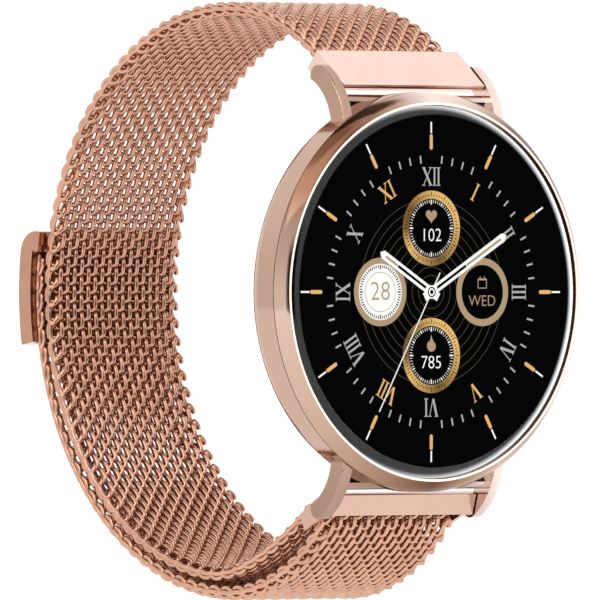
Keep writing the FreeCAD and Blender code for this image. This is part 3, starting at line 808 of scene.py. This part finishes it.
def numeral(text, angle, radius):
    """Strokes of a Roman numeral whose top points outwards at a clock angle."""
    strokes = []
    x = 0.0
    for letter in text:
        more, x = roman_letter(letter, x)
        strokes += more
    half = (x - LETTER_GAP) / 2
    turn = math.radians(angle)
    right = np.array((math.cos(turn), -math.sin(turn)))
    up = np.array((math.sin(turn), math.cos(turn)))
    place = up * radius
    return [[tuple(place + right * (px - half) + up * pz) for px, pz in s] for s in strokes]


TEXT_THINNING = -0.011


def dial_text(name, text, size, centre, material, layer):
    """Digits or a short word, centred on a place of the dial."""
    letters = bpy.data.curves.new(name, "FONT")
    letters.body = text
    letters.size = size * MM
    letters.align_x = "CENTER"
    letters.align_y = "CENTER"
    letters.offset = TEXT_THINNING * size * MM
    letters.extrude = LAYER * PLATE / 2 * MM
    letters.resolution_u = 4
    source = bpy.data.objects.new(name + "_outline", letters)
    mesh = bpy.data.meshes.new_from_object(source)
    bpy.data.objects.remove(source)
    height = (GLASS_BACK - SCREEN_GAP - LAYER * (layer + PLATE / 2)) * MM
    for vertex in mesh.vertices:
        x, z, thick = vertex.co
        vertex.co = (x + centre[0] * MM, height - thick, z + centre[1] * MM)
    mesh.flip_normals()
    mesh.materials.clear()
    mesh.materials.append(material)
    piece = bpy.data.objects.new(name, mesh)
    bpy.context.scene.collection.objects.link(piece)
    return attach(piece, "case")


BLACK_R = 19.55
# the glass edge's painted highlight: radii, fall and colour of its glow
GLOW_R = (19.45, 20.15)
GLOW_FALL = 1.8
GLOW_SILVER = (2.7, 2.75, 2.8, 1)
# the bezel rim's painted highlight line: radii, lift in front of the glass and glow
RIM_R = (20.27, 20.52)
RIM_PROUD = 0.008
RIM_HIGHLIGHT_GLOW = 0.75
dial_piece("dial_black", [disc_outline((0, 0), BLACK_R, GLASS_STEPS)], BLACK, 0)


def painted_edge_glow_material():
    """Painted highlight for light caught by the glass edge, glowing from black inside to silver at the rim."""
    material, tree, shader = unlit("glass_edge_painted_glow")
    size = tree.nodes.new("ShaderNodeVectorMath")
    size.operation = "LENGTH"
    link(tree, flat_place(tree, "X", "Z"), size.inputs["Vector"])
    rise = tree.nodes.new("ShaderNodeMapRange")
    rise.inputs["From Min"].default_value = GLOW_R[0] * MM
    rise.inputs["From Max"].default_value = GLOW_R[1] * MM
    link(tree, size.outputs["Value"], rise.inputs["Value"])
    curve = tree.nodes.new("ShaderNodeMath")
    curve.operation = "POWER"
    curve.inputs[1].default_value = GLOW_FALL
    link(tree, rise.outputs["Result"], curve.inputs[0])
    link(tree, curve.outputs["Value"], shader.inputs["Emission Strength"])
    shader.inputs["Emission Color"].default_value = GLOW_SILVER
    return material


# painted highlight: glowing plates inside the glass stand in for light caught by the glass edge
painted_glow_plates = ring_plates((0, 0), *GLOW_R, GLASS_STEPS)
dial_piece("edge_painted_glow", painted_glow_plates, painted_edge_glow_material(), 1)

# painted highlight: a thin glowing line where the bezel's front edge meets the glass
rim_steps = GLASS_STEPS
rim_vertices = []
for radius in RIM_R:
    for n in range(rim_steps):
        x, z = on_circle(radius, n, rim_steps)
        rim_vertices.append((x, GLASS_FRONT - RIM_PROUD, z))
rim_faces = []
for n in range(rim_steps):
    m = (n + 1) % rim_steps
    rim_faces.append([n, m, rim_steps + m, rim_steps + n])
# painted highlight: the rim line's metal glows
RIM_HIGHLIGHT_METAL = textured("rim_rose_gold_painted_highlight", linear(255, 228, 212), linear(250, 222, 206), 0.4, 0.3, 0.4, 2500)
rim_highlight_shader = RIM_HIGHLIGHT_METAL.node_tree.nodes["Principled BSDF"]
rim_highlight_shader.inputs["Emission Color"].default_value = (*linear(255, 226, 210), 1)
rim_highlight_shader.inputs["Emission Strength"].default_value = RIM_HIGHLIGHT_GLOW
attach(add_piece("bezel_rim_painted_highlight", rim_vertices, rim_faces, RIM_HIGHLIGHT_METAL), "case")

HOUR_LINE_R = (17.2, 18.4)
HOUR_CAPSULE_R = (15.4, 17.1)
HOUR_CAPSULE_WIDTH = 0.42
MINUTE_R = (13.95, 14.8)
TICK_WIDTH = 0.2
NUMERAL_R = 12.5
hours = [30 * n for n in range(12)]
minutes = [6 * n for n in range(60)]
dial_piece("hour_lines", [bar(a, *HOUR_LINE_R, TICK_WIDTH) for a in hours], WHITE, 2)
capsules = [capsule(a, *HOUR_CAPSULE_R, HOUR_CAPSULE_WIDTH) for a in hours]
dial_piece("hour_capsules", capsules, ORANGE, 2)
dial_piece("minute_ticks", [bar(a, *MINUTE_R, TICK_WIDTH) for a in minutes if a % 30], GREY, 2)

NUMERALS = ["XII", "I", "II", "III", "IV", "V", "VI", "VII", "VIII", "IX", "X", "XI"]
GOLD_NUMERALS = ("I", "V", "VII", "XI")
grey_strokes = []
gold_strokes = []
for angle, text in zip(hours, NUMERALS):
    shade = gold_strokes if text in GOLD_NUMERALS else grey_strokes
    shade += numeral(text, angle, NUMERAL_R)
dial_piece("numerals_grey", grey_strokes, GREY, 3)
dial_piece("numerals_gold", gold_strokes, ORANGE, 3)

CIRCLES = 11
FIRST_CIRCLE_R = 0.85
CIRCLE_STEP = 0.92
CIRCLE_WIDTH = 0.04
rings = []
for n in range(CIRCLES):
    radius = FIRST_CIRCLE_R + CIRCLE_STEP * n
    rings += ring_plates((0, 0), radius, radius + CIRCLE_WIDTH, 96)
dial_piece("fine_circles", rings, TAN_DIM, 1)


def gradient_ring_material(name, centre):
    """Gold ring that lightens and darkens round its centre."""
    material, tree, shader = unlit(name)
    mapping = tree.nodes.new("ShaderNodeMapping")
    mapping.inputs["Location"].default_value = (-centre[0] * MM, -centre[1] * MM, 0)
    link(tree, flat_place(tree, "X", "Z"), mapping.inputs["Vector"])
    light, dark = linear(234, 190, 116), linear(122, 92, 54)
    stops = [(0.0, dark), (0.1, light), (0.3, dark), (0.55, light), (0.72, light), (0.9, dark)]
    colours = sweep_colours(tree, mapping.outputs["Vector"], stops)
    link(tree, colours, shader.inputs["Emission Color"])
    shader.inputs["Emission Strength"].default_value = 1.0
    return material


TOP, BOTTOM, LEFT, RIGHT = (0.0, 6.9), (0.0, -6.87), (-7.24, 0.0), (7.25, 0.0)
METER_R = (3.2, 4.07)
DAY_R = (3.05, 3.7)
WEEK_R = (2.95, 3.7)
DAY_CIRCLE_R = (2.1, 2.17)
TICK_GAP = 0.12
TICK_LENGTHS = (0.46, 0.62)
TICK_WIDTHS = {"light": 0.065, "dark": 0.12, "fifth": 0.15}
MARK_IN = 3.45
MARK_OUT = (3.7, 3.95)
MARK_WIDTH = 0.09


def small_dial(name, centre, radii, ring_material, face_material, tick_material):
    """Small dial: its face, its ring, and ticks just inside the ring."""
    r_in, r_out = radii
    dial_piece(name + "_face", [disc_outline(centre, r_out)], face_material, 4)
    dial_piece(name + "_ring", ring_plates(centre, r_in, r_out, 72), ring_material, 5)
    plain = TICK_WIDTHS["dark" if tick_material is BLACK else "light"]
    ticks = []
    for n in range(60):
        start = r_in - TICK_LENGTHS[n % 15 == 0]
        width = plain if n % 5 else TICK_WIDTHS["fifth"]
        ticks.append(bar(6 * n, start, r_in - TICK_GAP, width, centre))
    dial_piece(name + "_ticks", ticks, tick_material, 5)


small_dial("pulse", TOP, METER_R, gradient_ring_material("ring_top", TOP), BLACK, WHITE)
small_dial("energy", BOTTOM, METER_R, gradient_ring_material("ring_bottom", BOTTOM), BLACK, WHITE)
small_dial("day", LEFT, DAY_R, TAN, WHITE, BLACK)
small_dial("week", RIGHT, WEEK_R, TAN, BLACK, BLACK)
for name, centre in (("pulse", TOP), ("energy", BOTTOM)):
    marks = [bar(6 * n, MARK_IN, MARK_OUT[n % 5 == 0], MARK_WIDTH, centre) for n in range(60)]
    dial_piece(name + "_marks", marks, BLACK, 6)
dial_piece("day_circle", ring_plates(LEFT, *DAY_CIRCLE_R), TAN, 5)
dial_text("day_digits", "28", 2.9, LEFT, TAN, 6)
dial_text("week_word", "WED", 1.7, (RIGHT[0], RIGHT[1] - 1.0), TAN, 5)
dial_text("pulse_digits", "102", 2.0, (TOP[0], TOP[1] - 0.8), WHITE, 5)
dial_text("energy_digits", "785", 2.0, (BOTTOM[0], BOTTOM[1] - 0.8), WHITE, 5)


def heart(centre, size):
    """Heart outline."""
    points = []
    for n in range(40):
        t = 2 * math.pi * n / 40
        x = 16 * math.sin(t) ** 3
        z = 13 * math.cos(t) - 5 * math.cos(2 * t) - 2 * math.cos(3 * t) - math.cos(4 * t)
        points.append((centre[0] + size * x / 17, centre[1] + size * z / 17))
    return points


def flame(centre, size):
    """Flame outline with a tall tongue and a small one beside it."""
    half = [
        (0.0, -1.0), (-0.45, -0.85), (-0.72, -0.45), (-0.7, 0.0), (-0.42, 0.42), (-0.36, 0.12),
        (-0.2, 0.5), (0.0, 1.2), (0.12, 0.75), (0.32, 0.4), (0.5, 0.05), (0.56, 0.25),
        (0.74, -0.2), (0.68, -0.6), (0.4, -0.9),
    ]
    return [(centre[0] + size * x, centre[1] + size * z) for x, z in half]


SYMBOL_SIZE = 0.85
dial_piece("pulse_heart", [heart((TOP[0], TOP[1] + 1.35), SYMBOL_SIZE)], TAN, 5)
dial_piece("energy_flame", [flame((BOTTOM[0], BOTTOM[1] + 1.25), SYMBOL_SIZE)], TAN, 5)

# calendar symbol: half width, foot, head, top of the two pegs, and line width
CAL_HALF, CAL_FOOT, CAL_HEAD, CAL_PEG, CAL_LINE = 0.6, -0.55, 0.4, 0.72, 0.1
CAL_RISE = 0.98
calendar_lines = [
    ((-CAL_HALF, CAL_FOOT), (CAL_HALF, CAL_FOOT), CAL_LINE),
    ((-CAL_HALF, CAL_HEAD), (CAL_HALF, CAL_HEAD), 2 * CAL_LINE),
    ((-CAL_HALF, CAL_FOOT), (-CAL_HALF, CAL_HEAD), CAL_LINE),
    ((CAL_HALF, CAL_FOOT), (CAL_HALF, CAL_HEAD), CAL_LINE),
    ((-CAL_HALF / 2, CAL_HEAD), (-CAL_HALF / 2, CAL_PEG), CAL_LINE),
    ((CAL_HALF / 2, CAL_HEAD), (CAL_HALF / 2, CAL_PEG), CAL_LINE),
]
cal_place = np.array((RIGHT[0], RIGHT[1] + CAL_RISE))
calendar = [stroke(cal_place + p, cal_place + q, width) for p, q, width in calendar_lines]
dial_piece("week_calendar", calendar, TAN, 5)

HAND_WIDTH = 0.95
HAND_TAIL = -1.15
SLOT_START, SLOT_WIDTH = 0.9, 0.3
STRIPE_GAP, STRIPE_STOP, STRIPE_WIDTH = 0.1, 0.9, 0.26


def hand(name, end, slot_end, layer):
    """Pointed baton hand: white, open near the hub, with a tan stripe further out."""
    angle, length = math.degrees(math.atan2(*end)), math.hypot(*end)
    point = length - HAND_WIDTH * 0.5
    blades = [
        bar(angle, HAND_TAIL, point, HAND_WIDTH),
        bar(angle, point, length, HAND_WIDTH, tip=0.02),
    ]
    slot = bar(angle, SLOT_START, slot_end, SLOT_WIDTH)
    stripe = bar(angle, slot_end + STRIPE_GAP, length - STRIPE_STOP, STRIPE_WIDTH)
    dial_piece(name, blades, WHITE, layer)
    dial_piece(name + "_slot", [slot], BLACK, layer + 1)
    dial_piece(name + "_stripe", [stripe], TAN, layer + 1)


HOUR_TIP, MINUTE_TIP, SECOND_TIP = (-7.25, 4.3), (10.65, 6.2), (-7.4, -12.9)
SECOND_R = (-2.4, 14.9)
SECOND_WIDTH = 0.14
HUB_R, HUB_RING_R, HUB_DOT_R = 0.72, (0.42, 0.56), 0.24
hand("hour_hand", HOUR_TIP, 5.5, 8)
hand("minute_hand", MINUTE_TIP, 5.7, 10)
second_angle = math.degrees(math.atan2(*SECOND_TIP))
dial_piece("second_hand", [bar(second_angle, *SECOND_R, SECOND_WIDTH)], WHITE, 12)
dial_piece("hub_disc", [disc_outline((0, 0), HUB_R, 32)], WHITE, 13)
dial_piece("hub_ring", ring_plates((0, 0), *HUB_RING_R, 32), BLACK, 14)
dial_piece("hub_dot", [disc_outline((0, 0), HUB_DOT_R, 32)], BLACK, 14)


# ---------------------------------------------------------------- studio
STUDIO_STRENGTH = 1.2
DARK_CARD = (0.016, 0.013, 0.012, 1)
SIDE_CARD = (0.86, 0.84, 0.83, 1)
TOP_CARD = (0.14, 0.11, 0.10, 1)
# each dark card: turn in degrees, then where it fades in, in radians across and in height
NEAR_CARD = (22, (0.34, 0.18), (0.4, 0.2))
FAR_CARD = (-40, (0.3, 0.16), (0.3, 0.14))
SIDE_FADE, SIDE_LEVEL = (-0.35, -0.75), (0.55, 0.25)
TOP_FADE = (0.86, 0.93)


def spread(tree, source, start, end):
    """Smooth rise from 0 to 1 as a value goes from start to end."""
    node = tree.nodes.new("ShaderNodeMapRange")
    node.interpolation_type = "SMOOTHSTEP"
    node.inputs["From Min"].default_value = start
    node.inputs["From Max"].default_value = end
    link(tree, source, node.inputs["Value"])
    return node.outputs["Result"]


def sums(tree, kind, first, second=None):
    """Maths node on one or two values."""
    node = tree.nodes.new("ShaderNodeMath")
    node.operation = kind
    for number, value in enumerate((first, second)):
        if value is None:
            continue
        if isinstance(value, (int, float)):
            node.inputs[number].default_value = value
        else:
            link(tree, value, node.inputs[number])
    return node.outputs["Value"]


def mixed(tree, factor, first, second):
    """Colour mixed from first towards second."""
    node = tree.nodes.new("ShaderNodeMix")
    node.data_type = "RGBA"
    link(tree, factor, node.inputs["Factor"])
    for name, value in (("A", first), ("B", second)):
        socket = [i for i in node.inputs if i.name == name and i.type == "RGBA"][0]
        if isinstance(value, tuple):
            socket.default_value = value
        else:
            link(tree, value, socket)
    return [o for o in node.outputs if o.type == "RGBA"][0]


def studio_world():
    """White surroundings with two dark cards in front, one overhead and a grey one at 9 o'clock."""
    world = bpy.data.worlds.new("studio")
    bpy.context.scene.world = world
    world.use_nodes = True
    tree = world.node_tree
    background = tree.nodes["Background"]
    place = tree.nodes.new("ShaderNodeTexCoord")
    split = tree.nodes.new("ShaderNodeSeparateXYZ")
    link(tree, place.outputs["Generated"], split.inputs["Vector"])
    x, y, z = (split.outputs[axis] for axis in "XYZ")
    level = sums(tree, "ABSOLUTE", z)
    turn = sums(tree, "ARCTAN2", x, sums(tree, "MULTIPLY", y, -1.0))
    cards = []
    for shift, across, upright in (NEAR_CARD, FAR_CARD):
        away = sums(tree, "ABSOLUTE", sums(tree, "ADD", turn, math.radians(shift)))
        cards.append(
            sums(tree, "MULTIPLY", spread(tree, away, *across), spread(tree, level, *upright))
        )
    card = sums(tree, "MAXIMUM", *cards)
    side = sums(tree, "MULTIPLY", spread(tree, x, *SIDE_FADE), spread(tree, level, *SIDE_LEVEL))
    colour = mixed(tree, side, (1.0, 1.0, 1.0, 1.0), SIDE_CARD)
    colour = mixed(tree, spread(tree, z, *TOP_FADE), colour, TOP_CARD)
    colour = mixed(tree, card, colour, DARK_CARD)
    link(tree, colour, background.inputs["Color"])
    background.inputs["Strength"].default_value = STUDIO_STRENGTH


studio_world()

FLOOR_DROP = 34.0
FLOOR_HALF = 450.0
FLOOR_GLOW = 0.16


def floor_material():
    """Pale floor, lit a little from within so that it meets the white surroundings."""
    material = textured("floor_white", (0.96, 0.96, 0.96), (0.97, 0.97, 0.97), 0, 0.7, 0.8, 20)
    shader = material.node_tree.nodes["Principled BSDF"]
    shader.inputs["Emission Color"].default_value = (1, 1, 1, 1)
    shader.inputs["Emission Strength"].default_value = FLOOR_GLOW
    return material


floor_z = cad_box[0][2] / MM - FLOOR_DROP
floor = add_piece(
    "floor",
    [(x * FLOOR_HALF, y * FLOOR_HALF, floor_z) for x, y in ((-1, -1), (1, -1), (1, 1), (-1, 1))],
    [[0, 1, 2, 3]],
    floor_material(),
)


def area_light(name, place, target, size, power):
    """Square soft light aimed at a point."""
    lamp = bpy.data.lights.new(name, "AREA")
    lamp.size = size
    lamp.energy = power
    holder = bpy.data.objects.new(name, lamp)
    holder.location = place
    holder.rotation_euler = (Vector(target) - Vector(place)).to_track_quat("-Z", "Y").to_euler()
    bpy.context.scene.collection.objects.link(holder)


area_light("key", (-0.5, -0.4, 1.2), (0, 0, 0), 1.4, 6.0)

# camera: level, 40 degrees round to the 9 o'clock side, far back with a long lens
CAMERA_AZIMUTH = math.radians(-40)
LENS = 1000.0
SENSOR = 36.0
VIEW_WIDTH = 64.9
AIM_RIGHT = -14.6
AIM_UP = -0.865
right = Vector((math.cos(CAMERA_AZIMUTH), math.sin(CAMERA_AZIMUTH), 0))
back = Vector((math.sin(CAMERA_AZIMUTH), -math.cos(CAMERA_AZIMUTH), 0))
aim = (Vector((0, GLASS_FRONT, AIM_UP)) + right * AIM_RIGHT) * MM
camera_data = bpy.data.cameras.new("camera")
camera_data.lens = LENS
camera_data.sensor_width = SENSOR
camera_data.clip_end = 100
camera = bpy.data.objects.new("camera", camera_data)
camera.location = aim + back * (VIEW_WIDTH * MM * LENS / SENSOR)
camera.rotation_euler = (-back).to_track_quat("-Z", "Y").to_euler()
bpy.context.scene.collection.objects.link(camera)
bpy.context.scene.camera = camera
bpy.context.scene.view_settings.view_transform = "Standard"
